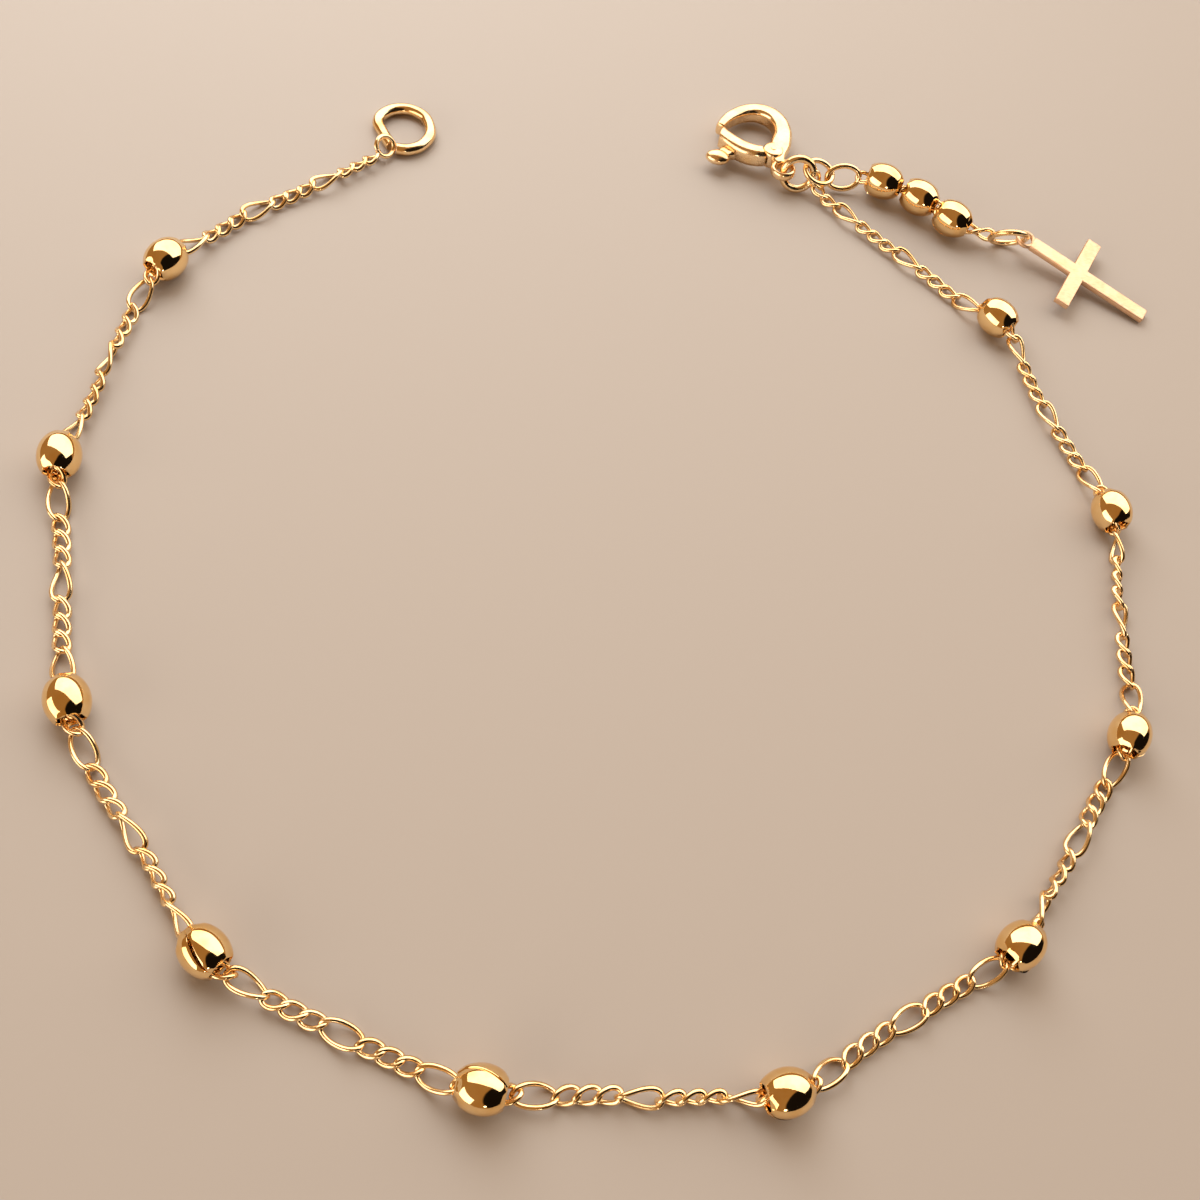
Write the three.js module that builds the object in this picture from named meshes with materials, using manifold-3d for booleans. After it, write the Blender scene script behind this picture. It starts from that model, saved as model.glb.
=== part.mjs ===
// A beaded bracelet lying open on a table: a fine figaro chain that carries ten hollow balls, a round
// end ring, a lobster clasp, and a short drop of two links, three more balls and a Latin cross.
// Millimetres, +Z up, +X to the right and +Y away. The table is at Z = 0.

import * as THREE from 'three';
import { mergeVertices } from 'three/addons/utils/BufferGeometryUtils.js';
import Module from 'manifold-3d';

const wasm = await Module();
wasm.setup();

// ---------------------------------------------------------------- driving dimensions

const ball = { radius: 1.36, rimRadius: 0.82, halfLength: 1.43, wall: 0.15, segments: 16 };

const chain = { width: 1.04, lyingHeight: 0.6, sides: 8, steps: 78 };
const dropChain = { width: 0.8, sides: 8, steps: 9 };

// The ten balls along the chain. Heading is the way the chain runs through each, in degrees from +X.
const chainBalls = [
  { x: -30.49, y: 23.51, heading: -122 },
  { x: -34.73, y: 7.29, heading: -89 },
  { x: -31.45, y: -9.05, heading: -71 },
  { x: -21.87, y: -23.10, heading: -42 },
  { x: -6.53, y: -29.96, heading: -9 },
  { x: 10.21, y: -29.98, heading: 14 },
  { x: 25.01, y: -21.69, heading: 41 },
  { x: 34.43, y: -8.12, heading: 65 },
  { x: 36.25, y: 8.60, heading: 97 },
  { x: 30.09, y: 24.83, heading: 131 },
];

// Where the chain lies, x and y, from the end ring to ball 1, then ball to ball, then to the clasp.
const lyingStretches = [
  [[-16.55, 36.05], [-19.30, 33.65], [-22.45, 31.35], [-25.30, 29.30], [-27.75, 26.90]],
  [[-31.95, 20.80], [-32.90, 16.90], [-33.50, 13.60], [-34.30, 10.10]],
  [[-34.45, 4.30], [-33.80, 1.30], [-33.30, -1.40], [-32.60, -5.60]],
  [[-30.20, -11.80], [-28.60, -14.40], [-26.30, -17.30], [-24.10, -20.60]],
  [[-19.50, -24.70], [-17.10, -25.90], [-14.20, -27.20], [-9.50, -29.20]],
  [[-3.60, -30.20], [0.20, -30.20], [3.80, -30.30], [7.20, -30.20]],
  [[12.90, -28.90], [15.40, -27.30], [18.40, -25.60], [22.40, -23.50]],
  [[27.10, -19.10], [29.50, -15.80], [31.40, -13.00], [33.00, -10.90]],
  [[35.50, -5.40], [35.70, -1.90], [35.90, 1.80], [36.40, 5.60]],
  [[35.60, 11.50], [34.20, 14.80], [32.90, 17.90], [31.70, 22.20]],
  [[27.90, 26.70], [25.50, 29.00], [22.90, 31.20], [20.30, 33.50], [18.15, 35.45]],
];

// The three touching balls of the drop, in line from the clasp to the cross.
const dropBalls = [
  { x: 22.36, y: 37.31, heading: -19 },
  { x: 25.17, y: 36.01, heading: -30 },
  { x: 27.64, y: 34.16, heading: -33 },
];
const dropChainStart = new THREE.Vector3(21.20, 37.60, 1.36);
const dropChainEnd = new THREE.Vector3(29.85, 33.20, 1.05);

// Closed loops of round wire. Length and width are outer sizes; heading, pitch and roll are degrees.
const wireLoops = [
  {
    name: 'end_ring', length: 4.9, width: 4.9, wire: 0.75, segments: 28,
    at: [-15.20, 38.60, 0.38], heading: 0, pitch: 0, roll: 0,
  },
  {
    name: 'clasp_ring', length: 3.0, width: 3.0, wire: 0.40, segments: 20,
    at: [15.43, 37.13, 1.42], heading: -2, pitch: -2, roll: 65,
  },
  {
    name: 'drop_link_1', length: 2.9, width: 2.3, wire: 0.30, segments: 20,
    at: [17.12, 37.46, 1.47], heading: 5, pitch: -16, roll: 20,
  },
  {
    name: 'drop_link_2', length: 3.0, width: 2.2, wire: 0.30, segments: 20,
    at: [19.17, 37.50, 1.14], heading: 2, pitch: 6, roll: 59,
  },
  {
    name: 'drop_ring', length: 3.2, width: 3.2, wire: 0.40, segments: 20,
    at: [32.02, 32.63, 1.50], heading: 0, pitch: 0, roll: -65,
  },
];
const wireSides = 8;

// The clasp in its own frame: X from the eye to the nose, Y to the thumb's side, Z its thickness.
const clasp = {
  at: [14.17, 37.22, 1.56], heading: 112, pitch: -5.5,
  thickness: 1.3, edge: 0.22,
  eye: { holeRadius: 0.62, outerRadius: 1.0, thickness: 0.7, neckWidth: 1.3 },
  pivot: { x: 1.75, y: 0.10, pinRadius: 0.2, pinRoom: 0.1, pinLength: 1.1 },
  hub: { radius: 0.6, thickness: 0.36, rootWidth: 0.6 },
  cheek: { radius: 0.95, thickness: 1.5, z: -0.1 },
  slot: { height: 0.62, radius: 0.82, width: 1.5, reach: 2.2, direction: 52 },
};
// The fixed hook's centre line, root to tip, with its width at each place.
const hookRows = [
  { x: 1.75, y: -0.35, width: 1.15 },
  { x: 2.55, y: -1.25, width: 1.20 },
  { x: 3.60, y: -1.85, width: 1.25 },
  { x: 4.80, y: -2.10, width: 1.25 },
  { x: 5.85, y: -1.90, width: 1.15 },
  { x: 6.65, y: -1.10, width: 0.95 },
  { x: 6.85, y: 0.10, width: 0.85 },
  { x: 6.62, y: 1.30, width: 0.80 },
  { x: 6.25, y: 2.20, width: 0.72 },
  { x: 5.75, y: 2.80, width: 0.58 },
];
// The lever's gate, from beside the pivot to the end that closes against the hook's tip.
const gateRows = [
  { x: 2.42, y: 1.12, width: 0.95 },
  { x: 3.10, y: 1.85, width: 1.05 },
  { x: 4.00, y: 2.38, width: 0.95 },
  { x: 4.92, y: 2.60, width: 0.66 },
];
const gate = { thickness: 1.5, z: -0.2 };
const thumb = {
  x: 3.05, y: 4.15, z: -0.3, long: 0.85, wide: 0.58, high: 0.5, turn: 60,
  neckWidth: 0.7, neckThickness: 0.6,
};

// The cross: a flat stamped plate with a wire eye soldered to its top end.
const cross = {
  top: [33.90, 32.35, 1.43], heading: -31.1, pitch: 6,
  length: 10.45, span: 7.4, armWidth: 1.2, thickness: 0.45, barFromTop: 4.3,
  eye: { radius: 0.66, wire: 0.34, fromTop: 0.55 },
};

// ---------------------------------------------------------------- materials

function gold(name, colour, roughness) {
  return new THREE.MeshStandardMaterial({ name, color: colour, roughness, metalness: 1.0 });
}

const polishedGold = gold('polished_gold', 0xe3b25c, 0.15);
const wireGold = gold('wire_gold', 0xe0b061, 0.22);
const plateGold = gold('plate_gold', 0xebc486, 0.3);

// ---------------------------------------------------------------- solids

function radians(degrees) {
  return THREE.MathUtils.degToRad(degrees);
}

// Turns a closed geometry into a manifold solid, with shared corners merged.
function solidOf(geometry) {
  const bare = geometry.clone();
  bare.deleteAttribute('normal');
  bare.deleteAttribute('uv');
  const merged = mergeVertices(bare, 1e-5);
  const vertProperties = new Float32Array(merged.getAttribute('position').array);
  const triVerts = new Uint32Array(merged.getIndex().array);
  return new wasm.Manifold(new wasm.Mesh({ numProp: 3, vertProperties, triVerts }));
}

function geometryOf(solid) {
  const mesh = solid.getMesh();
  const geometry = new THREE.BufferGeometry();
  geometry.setAttribute('position', new THREE.BufferAttribute(new Float32Array(mesh.vertProperties), 3));
  geometry.setIndex(new THREE.BufferAttribute(new Uint32Array(mesh.triVerts), 1));
  geometry.computeVertexNormals();
  return geometry;
}

function named(name, geometry, material) {
  const mesh = new THREE.Mesh(geometry, material);
  mesh.name = name;
  return mesh;
}

// A hollow ball, a little longer than wide, with a round mouth at each end of its Y axis.
function ballGeometry() {
  const outerSteps = 6;
  const innerSteps = 4;
  const bulge = ball.radius ** 2 - ball.rimRadius ** 2;
  const outerRadius = (share) => Math.sqrt(ball.radius ** 2 - bulge * share ** 2);
  const profile = [];
  for (let i = 0; i <= outerSteps; i += 1) {
    const share = (2 * i) / outerSteps - 1;
    profile.push(new THREE.Vector2(outerRadius(share), share * ball.halfLength));
  }
  for (let i = 0; i <= innerSteps; i += 1) {
    const share = 1 - (2 * i) / innerSteps;
    profile.push(new THREE.Vector2(outerRadius(share) - ball.wall, share * ball.halfLength));
  }
  profile.push(profile[0].clone());
  return new THREE.LatheGeometry(profile, ball.segments);
}

// A ball on the table with its mouths along the heading.
function ballMesh(name, place) {
  const mesh = named(name, ballGeometry(), polishedGold);
  mesh.position.set(place.x, place.y, ball.radius);
  mesh.rotation.set(0, 0, radians(place.heading - 90));
  return mesh;
}

// The two points where the chain enters and leaves a ball, level with the ball's centre.
function ballMouths(place) {
  const along = new THREE.Vector3(Math.cos(radians(place.heading)), Math.sin(radians(place.heading)), 0);
  const centre = new THREE.Vector3(place.x, place.y, ball.radius);
  return [
    centre.clone().addScaledVector(along, -ball.halfLength),
    centre.clone().addScaledVector(along, ball.halfLength),
  ];
}

// A round tube with flat ends along a smooth route.
function tubeGeometry(points, width, sides, steps) {
  const section = new THREE.Shape();
  for (let i = 0; i < sides; i += 1) {
    const angle = (2 * Math.PI * (i + 0.5)) / sides;
    const corner = [(width / 2) * Math.cos(angle), (width / 2) * Math.sin(angle)];
    if (i === 0) {
      section.moveTo(...corner);
    } else {
      section.lineTo(...corner);
    }
  }
  section.closePath();
  const extrudePath = new THREE.CatmullRomCurve3(points);
  return new THREE.ExtrudeGeometry(section, { steps, extrudePath, bevelEnabled: false });
}

// The chain's middle line: it lies on the table between the balls and rises into each mouth.
function chainRoute() {
  const points = [];
  lyingStretches.forEach((stretch, index) => {
    stretch.forEach(([x, y]) => points.push(new THREE.Vector3(x, y, chain.lyingHeight)));
    if (index < chainBalls.length) {
      points.push(...ballMouths(chainBalls[index]));
    }
  });
  return points;
}

// The drop's chain starts inside the first ball's near mouth.
function dropChainRoute() {
  return [dropChainStart, ...dropBalls.flatMap(ballMouths).slice(1), dropChainEnd];
}

// A closed loop of round wire, an oval with straight sides where it is longer than wide.
function wireLoopGeometry(loop) {
  const endRadius = (loop.width - loop.wire) / 2;
  const straightHalf = (loop.length - loop.width) / 2;
  const points = [];
  for (let i = 0; i < loop.segments; i += 1) {
    const angle = (2 * Math.PI * (i + 0.5)) / loop.segments;
    const side = Math.sign(Math.cos(angle));
    points.push(new THREE.Vector3(
      side * straightHalf + endRadius * Math.cos(angle),
      endRadius * Math.sin(angle),
      0,
    ));
  }
  const middle = new THREE.CatmullRomCurve3(points, true);
  return new THREE.TubeGeometry(middle, loop.segments, loop.wire / 2, wireSides, true);
}

function place(object, at, heading, pitch, roll) {
  object.rotation.set(radians(roll), radians(-pitch), radians(heading), 'ZYX');
  object.position.set(...at);
  return object;
}

// ---------------------------------------------------------------- clasp

// The outline of a band that follows a centre line and has the width named in each row.
function bandShape(rows, inset) {
  const centre = new THREE.SplineCurve(rows.map((row) => new THREE.Vector2(row.x, row.y)));
  const widths = new THREE.SplineCurve(rows.map((row, i) => new THREE.Vector2(i, row.width)));
  const left = [];
  const right = [];
  const steps = (rows.length - 1) * 2;
  for (let i = 0; i <= steps; i += 1) {
    const t = i / steps;
    const middle = centre.getPoint(t);
    const along = centre.getTangent(t);
    const half = widths.getPoint(t).y / 2 - inset;
    left.push(new THREE.Vector2(middle.x - along.y * half, middle.y + along.x * half));
    right.push(new THREE.Vector2(middle.x + along.y * half, middle.y - along.x * half));
  }
  return new THREE.Shape([...left, ...right.reverse()]);
}

// A plate of the given thickness about Z = 0, with its edges chamfered.
function plateSolid(shape, thickness, edge) {
  const geometry = new THREE.ExtrudeGeometry(shape, {
    depth: thickness - 2 * edge,
    bevelEnabled: edge > 0,
    bevelThickness: edge,
    bevelSize: edge,
    bevelSegments: 1,
    curveSegments: 8,
  });
  geometry.translate(0, 0, -thickness / 2 + edge);
  return solidOf(geometry);
}

function discSolid(x, y, radius, height, segments) {
  const geometry = new THREE.CylinderGeometry(radius, radius, height, segments);
  geometry.rotateX(Math.PI / 2);
  geometry.translate(x, y, 0);
  return solidOf(geometry);
}

function barSolid(from, to, width, thickness) {
  const span = new THREE.Vector2(to.x - from.x, to.y - from.y);
  const geometry = new THREE.BoxGeometry(span.length(), width, thickness);
  geometry.rotateZ(Math.atan2(span.y, span.x));
  geometry.translate((from.x + to.x) / 2, (from.y + to.y) / 2, 0);
  return solidOf(geometry);
}

// Eye, neck, two cheeks with the pin between them, and the hook that curls round to its tip.
function claspBody() {
  const { eye, pivot, cheek, slot } = clasp;
  const hook = plateSolid(bandShape(hookRows, clasp.edge), clasp.thickness, clasp.edge);
  const cheeks = discSolid(pivot.x, pivot.y, cheek.radius, cheek.thickness, 20).translate(0, 0, cheek.z);
  const neck = barSolid({ x: 0, y: 0 }, pivot, eye.neckWidth, eye.thickness);
  const eyeDisc = discSolid(0, 0, eye.outerRadius, eye.thickness, 20);
  const eyeHole = discSolid(0, 0, eye.holeRadius, 2 * clasp.thickness, 16);
  const aim = radians(slot.direction);
  const slotEnd = { x: pivot.x + slot.reach * Math.cos(aim), y: pivot.y + slot.reach * Math.sin(aim) };
  const slotRoom = discSolid(pivot.x, pivot.y, slot.radius, slot.height, 20)
    .add(barSolid(pivot, slotEnd, slot.width, slot.height));
  const pin = discSolid(pivot.x, pivot.y, pivot.pinRadius, pivot.pinLength, 12);
  return hook.add(cheeks).add(neck).add(eyeDisc).subtract(eyeHole).subtract(slotRoom).add(pin);
}

// Hub round the pin, a thin root in the slot, the gate, and the thumb piece outside it.
function claspLever() {
  const { pivot, hub } = clasp;
  const hubDisc = discSolid(pivot.x, pivot.y, hub.radius, hub.thickness, 16);
  const root = barSolid(pivot, gateRows[1], hub.rootWidth, hub.thickness);
  const pinHole = discSolid(pivot.x, pivot.y, pivot.pinRadius + pivot.pinRoom, clasp.thickness, 16);
  const band = plateSolid(bandShape(gateRows, clasp.edge), gate.thickness, clasp.edge);
  const neck = barSolid(gateRows[2], thumb, thumb.neckWidth, thumb.neckThickness);
  const pad = new THREE.SphereGeometry(1, 12, 8);
  pad.rotateX(Math.PI / 2);
  pad.scale(thumb.long, thumb.wide, thumb.high);
  pad.rotateZ(radians(thumb.turn));
  pad.translate(thumb.x, thumb.y, thumb.z);
  return hubDisc.add(root).subtract(pinHole)
    .add(band.translate(0, 0, gate.z))
    .add(neck.translate(0, 0, thumb.z))
    .add(solidOf(pad));
}

function claspGroup() {
  const group = new THREE.Group();
  group.name = 'clasp';
  group.add(named('clasp_body', geometryOf(claspBody()), polishedGold));
  group.add(named('clasp_lever', geometryOf(claspLever()), polishedGold));
  return place(group, clasp.at, clasp.heading, clasp.pitch, 0);
}

// ---------------------------------------------------------------- cross

// Its own frame: X from the top end to the foot, Y across, Z through the plate.
function crossMesh() {
  const half = cross.armWidth / 2;
  const barStart = cross.barFromTop - half;
  const barEnd = cross.barFromTop + half;
  const outline = new THREE.Shape([
    [0, -half], [barStart, -half], [barStart, -cross.span / 2], [barEnd, -cross.span / 2],
    [barEnd, -half], [cross.length, -half], [cross.length, half], [barEnd, half],
    [barEnd, cross.span / 2], [barStart, cross.span / 2], [barStart, half], [0, half],
  ].map(([x, y]) => new THREE.Vector2(x, y)));
  const plate = plateSolid(outline, cross.thickness, 0);
  const eyeRing = new THREE.TorusGeometry(cross.eye.radius, cross.eye.wire / 2, wireSides, 18);
  eyeRing.translate(-cross.eye.fromTop, 0, 0);
  const mesh = named('cross', geometryOf(plate.add(solidOf(eyeRing))), plateGold);
  return place(mesh, cross.top, cross.heading, -cross.pitch, 0);
}

// ---------------------------------------------------------------- bracelet

function twoDigits(number) {
  return String(number).padStart(2, '0');
}

const bracelet = new THREE.Group();
bracelet.name = 'beaded_bracelet';

wireLoops.forEach((loop) => {
  const mesh = named(loop.name, wireLoopGeometry(loop), wireGold);
  bracelet.add(place(mesh, loop.at, loop.heading, loop.pitch, loop.roll));
});
bracelet.add(named('chain', tubeGeometry(chainRoute(), chain.width, chain.sides, chain.steps), wireGold));
chainBalls.forEach((spot, index) => bracelet.add(ballMesh(`bead_${twoDigits(index + 1)}`, spot)));
bracelet.add(claspGroup());
bracelet.add(named(
  'drop_chain',
  tubeGeometry(dropChainRoute(), dropChain.width, dropChain.sides, dropChain.steps),
  wireGold,
));
dropBalls.forEach((spot, index) => bracelet.add(ballMesh(`drop_bead_${index + 1}`, spot)));
bracelet.add(crossMesh());

// The origin is on the table, under the middle of the bracelet's extent.
bracelet.updateMatrixWorld(true);
const extent = new THREE.Box3().setFromObject(bracelet, true);
const middle = extent.getCenter(new THREE.Vector3());
bracelet.position.set(-middle.x, -middle.y, -extent.min.z);

export default bracelet;
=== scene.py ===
"""Dresses the beaded bracelet in yellow gold: figaro links, hollow balls of rolled sheet,
wire rings, a lobster clasp and a flat cross, lying on a plain pale table.

Shapes are modelled in millimetres about their own middle, then set in their place in metres."""

import math

import bmesh
import bpy
from mathutils import Matrix, Vector


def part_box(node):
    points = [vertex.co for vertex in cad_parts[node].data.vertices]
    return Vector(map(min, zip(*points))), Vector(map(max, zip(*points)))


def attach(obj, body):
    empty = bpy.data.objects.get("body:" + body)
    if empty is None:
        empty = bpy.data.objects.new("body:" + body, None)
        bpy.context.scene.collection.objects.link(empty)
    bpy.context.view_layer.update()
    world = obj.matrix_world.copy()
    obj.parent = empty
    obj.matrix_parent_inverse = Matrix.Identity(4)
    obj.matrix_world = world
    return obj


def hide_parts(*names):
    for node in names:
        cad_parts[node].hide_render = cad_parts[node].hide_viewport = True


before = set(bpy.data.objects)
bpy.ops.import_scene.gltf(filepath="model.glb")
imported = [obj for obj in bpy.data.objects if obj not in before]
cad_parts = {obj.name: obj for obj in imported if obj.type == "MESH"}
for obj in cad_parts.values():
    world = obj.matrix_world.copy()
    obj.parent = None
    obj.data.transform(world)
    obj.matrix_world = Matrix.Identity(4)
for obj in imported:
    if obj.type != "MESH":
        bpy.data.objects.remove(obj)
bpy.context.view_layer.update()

# A millimetre in metres, and how close in millimetres two places count as one.
MM = 0.001
TOLERANCE = 0.001

# ------------------------------------------------------------------ sizes, in millimetres

BALL_RADIUS = 1.36
BALL_HALF_LENGTH = 1.43
BALL_STRETCH = 1.27
WIDE_MOUTH_AT = 1.29
NARROW_MOUTH_AT = 1.50
BALL_SHEET = 0.13
SHEET_EDGE = 0.03
SEAM_WINDING = 40
GAP_HALF_LENGTH = 0.55

# How the seam's edge is moved at each kind of seam, and how far the sheet follows it.
SEAM_SHIFTS = {
    "tight": {"across": -0.02, "lift": 0.02, "reach": 0.5},
    "lapped": {"across": -0.20, "lift": 0.09, "reach": 0.9},
    "open": {"across": 0.11, "lift": 0.0, "reach": 1.0},
}

# The folds pressed in round the mouths: how many, how deep from the rim, how far pinched, how
# far the sheet follows, and how narrow they are, from -1 to 1.
WIDE_MOUTH_FOLDS = 7
NARROW_MOUTH_FOLDS = 5
CRIMP = {"depth": 0.02, "pinch": 0.88, "reach": 0.30, "narrow": 0.3}

# A link's reach is the length of chain that it makes. Its twist and slant are in degrees.
SMALL_LINK = {"length": 1.88, "width": 1.20, "wire": 0.34, "reach": 1.13, "twist": 124, "slant": 18}
LONG_LINK = {"length": 2.90, "width": 1.54, "wire": 0.32, "reach": 2.30, "twist": 95, "slant": 0}
LINKS = {"small": SMALL_LINK, "long": LONG_LINK}
KINDS = ("small", "small", "long", "small")
WIRE_CHECKS = 24
STRETCH_LINKS = 13
END_STRETCH_LINKS = 14
KIND_AT_END_RING = 3

# The way the chain runs through each ball, how far the ball's seam is turned from its top, how
# its seam closes, and the end that its wide mouth is at: -1 where the chain comes in, 1 where
# it leaves.
BALLS = [
    {"heading": -122, "seam": 150, "closing": "tight", "wide_end": 1},
    {"heading": -89, "seam": 160, "closing": "tight", "wide_end": 1},
    {"heading": -71, "seam": -150, "closing": "tight", "wide_end": 1},
    {"heading": -42, "seam": 21, "closing": "open", "wide_end": 1},
    {"heading": -9, "seam": -48, "closing": "lapped", "wide_end": 1},
    {"heading": 14, "seam": 100, "closing": "tight", "wide_end": -1},
    {"heading": 41, "seam": 120, "closing": "lapped", "wide_end": -1},
    {"heading": 65, "seam": 100, "closing": "tight", "wide_end": -1},
    {"heading": 97, "seam": 150, "closing": "tight", "wide_end": -1},
    {"heading": 131, "seam": 160, "closing": "tight", "wide_end": -1},
]
DROP_BALLS = [
    {"heading": -19, "seam": 150, "closing": "tight", "wide_end": -1},
    {"heading": -30, "seam": 160, "closing": "tight", "wide_end": -1},
    {"heading": -33, "seam": 140, "closing": "tight", "wide_end": -1},
]

# Where the chain lies, from the end ring to ball 1, then ball to ball, then to the clasp's ring.
END_RING_PLACE = (-15.20, 38.60)
LYING_STRETCHES = [
    [
        (-16.05, 36.45), (-16.70, 35.80), (-19.30, 33.65),
        (-22.45, 31.35), (-25.30, 29.30), (-27.75, 26.90),
    ],
    [(-31.95, 20.80), (-32.90, 16.90), (-33.50, 13.60), (-34.30, 10.10)],
    [(-34.45, 4.30), (-33.80, 1.30), (-33.30, -1.40), (-32.60, -5.60)],
    [(-30.20, -11.80), (-28.60, -14.40), (-26.30, -17.30), (-24.10, -20.60)],
    [(-19.50, -24.70), (-17.10, -25.90), (-14.20, -27.20), (-9.50, -29.20)],
    [(-3.60, -30.20), (0.20, -30.20), (3.80, -30.30), (7.20, -30.20)],
    [(12.90, -28.90), (15.40, -27.30), (18.40, -25.60), (22.40, -23.50)],
    [(27.10, -19.10), (29.50, -15.80), (31.40, -13.00), (33.00, -10.90)],
    [(35.50, -5.40), (35.70, -1.90), (35.90, 1.80), (36.40, 5.60)],
    [(35.60, 11.50), (34.20, 14.80), (32.90, 17.90), (31.70, 22.20)],
    [
        (27.90, 26.70), (25.50, 29.00), (22.90, 31.20),
        (20.30, 33.50), (18.15, 35.45), (17.45, 36.15),
    ],
]
CHAIN_TO_CLASP = (16.95, 36.85, 1.20)
DROP_CHAIN_START = (21.05, 37.62, 1.28)
DROP_CHAIN_END = (30.25, 33.20, 1.05)

# How high the chain's middle lies, and how far a stretch's row starts past its ball's middle.
CHAIN_IN_BALL = 1.15
CHAIN_LYING = 0.30
ROW_PAST_BALL = 0.25
LAST_ROW_PAST_BALL = -0.35

# How far each stretch's long links lean over, in degrees: its first, its middle and its last,
# and the shares of the stretch that they are at.
LEANS = [
    (35, 0, 20), (0, 60, 30), (0, 30, 10), (0, 50, 65), (-28, 6, 0), (0, 52, 78),
    (0, 10, 0), (-110, -45, 0), (0, 40, 80), (0, 15, 25), (5, 12, 15),
]
LEANS_AT = (0.18, 0.51, 0.84)

# A link beside a leaning one is lifted to this much under its neighbours' height, and none
# comes nearer to the table than the room under it.
LINK_SLACK = 0.04
LIFTING_ROUNDS = 3
ROOM_UNDER_LINKS = 0.01

# Rings and links of round wire, with the turns that they lie at in degrees. Each is cut
# through, and the cut takes twice this angle. The cut ends are rounded by a share of the wire.
RING_CUT = 1.5
RING_STEPS = 24
WIRE_END_ROUNDING = 0.16
WIRE_LOOPS = {
    "clasp_ring": {"length": 3.0, "width": 3.0, "wire": 0.60, "turns": (-2, -2, 65)},
    "drop_link_1": {"length": 2.9, "width": 2.3, "wire": 0.44, "turns": (5, -16, 20)},
    "drop_link_2": {"length": 3.0, "width": 2.2, "wire": 0.42, "turns": (2, 6, 59)},
    "drop_ring": {"length": 3.2, "width": 3.2, "wire": 0.46, "turns": (0, 0, -65)},
}
END_RING_WIRE = 0.86
END_RING_LIFT = 0.055
END_RING_BENDS = [
    (-0.40, -2.05), (0.50, -2.02), (1.46, -1.46), (2.04, -0.20), (1.62, 1.30), (0.45, 2.02),
    (-0.80, 1.92), (-1.72, 1.22), (-1.96, 0.40), (-1.58, -0.45), (-1.15, -1.22), (-0.80, -1.80),
]
END_JUMP_RING = {"length": 1.95, "width": 1.80, "wire": 0.36, "turns": (-135, 10, -48)}
END_JUMP_RING_PLACE = (-16.42, 36.22, 0.92)

# The clasp in its own frame: X from the eye to the nose, Y to the thumb's side, Z its thickness.
CLASP_PLACE = (14.17, 37.22, 1.56)
CLASP_TURNS = (112, -5.5, 0)
CLASP_EYE = {"hole": 0.60, "wire": 0.40, "height": 0.72}
CLASP_PIVOT = (1.75, 0.10)
CLASP_CHEEK = {"radius": 0.82, "height": 1.40, "edge": 0.24}
CLASP_PIN = {"radius": 0.2, "room": 0.3, "length": 1.5}
CLASP_EDGE = 0.34
TURNED_EDGE = 0.04
CUTTER_HEIGHT = 2
CLASP_SLOT = {"height": 0.62, "radius": 0.78, "width": 1.3, "reach": 2.4, "direction": 74}
HOOK_ROWS = [
    {"x": 0.45, "y": 0.02, "width": 0.85, "thick": 0.80},
    {"x": 1.05, "y": -0.05, "width": 1.40, "thick": 1.25},
    {"x": 1.75, "y": -0.36, "width": 1.66, "thick": 1.50},
    {"x": 2.55, "y": -1.03, "width": 1.52, "thick": 1.50},
    {"x": 3.55, "y": -1.72, "width": 1.38, "thick": 1.46},
    {"x": 4.75, "y": -2.02, "width": 1.34, "thick": 1.40},
    {"x": 5.78, "y": -1.76, "width": 1.28, "thick": 1.36},
    {"x": 6.52, "y": -1.02, "width": 1.18, "thick": 1.32},
    {"x": 6.78, "y": 0.10, "width": 1.08, "thick": 1.28},
    {"x": 6.58, "y": 1.26, "width": 0.98, "thick": 1.25},
    {"x": 6.18, "y": 2.14, "width": 0.86, "thick": 1.20},
    {"x": 5.62, "y": 2.92, "width": 0.66, "thick": 1.10},
]
GATE_ROWS = [
    {"x": 1.80, "y": 0.62, "width": 1.16, "thick": 1.50},
    {"x": 2.12, "y": 1.42, "width": 1.24, "thick": 1.54},
    {"x": 2.72, "y": 2.12, "width": 1.30, "thick": 1.54},
    {"x": 3.55, "y": 2.66, "width": 1.26, "thick": 1.52},
    {"x": 4.45, "y": 3.00, "width": 1.14, "thick": 1.44},
    {"x": 5.35, "y": 3.16, "width": 0.96, "thick": 1.34},
]

# The gate's ends are cut to circles about the pin with these radii, so that it swings freely.
GATE_START = 0.90
GATE_END = 4.36
LEVER_HUB = {"radius": 0.6, "height": 0.36, "root_width": 0.6}
NECK_ROWS = [
    {"x": 3.45, "y": 2.45, "width": 1.90, "thick": 1.10},
    {"x": 3.36, "y": 3.05, "width": 1.35, "thick": 0.90},
    {"x": 3.20, "y": 3.60, "width": 1.05, "thick": 0.78},
    {"x": 3.02, "y": 4.20, "width": 0.85, "thick": 0.64},
]
NECK_HEIGHT = -0.28
THUMB = {"x": 3.00, "y": 4.22, "z": -0.22, "long": 0.96, "wide": 0.68, "high": 0.50, "turn": 60}

# The cross in its own frame: X from its top end to its foot, Y across, Z through the plate.
CROSS_PLACE = (33.90, 32.35, 1.43)
CROSS_TURNS = (-31.1, -6, 0)
CROSS = {"length": 10.45, "span": 7.4, "arm": 1.2, "plate": 0.45, "bar_from_top": 4.3}
CROSS_EDGE = 0.11
CROSS_EYE = {"radius": 0.66, "wire": 0.34, "from_top": 0.55}

# How closely a bar is drawn out, and how its ends are domed: over which length, in which steps
# and down to which share of its size.
BAR_STEP = 0.12
DOME_LENGTH = 0.16
DOME_STEPS = (0.03, 0.08)
DOME_TIP = 0.55

# Edges that bend by less than these angles in degrees are shaded smooth.
SMOOTH_UNDER = 40
CRISP_UNDER = 35

# ------------------------------------------------------------------ looks, lights and camera

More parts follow.
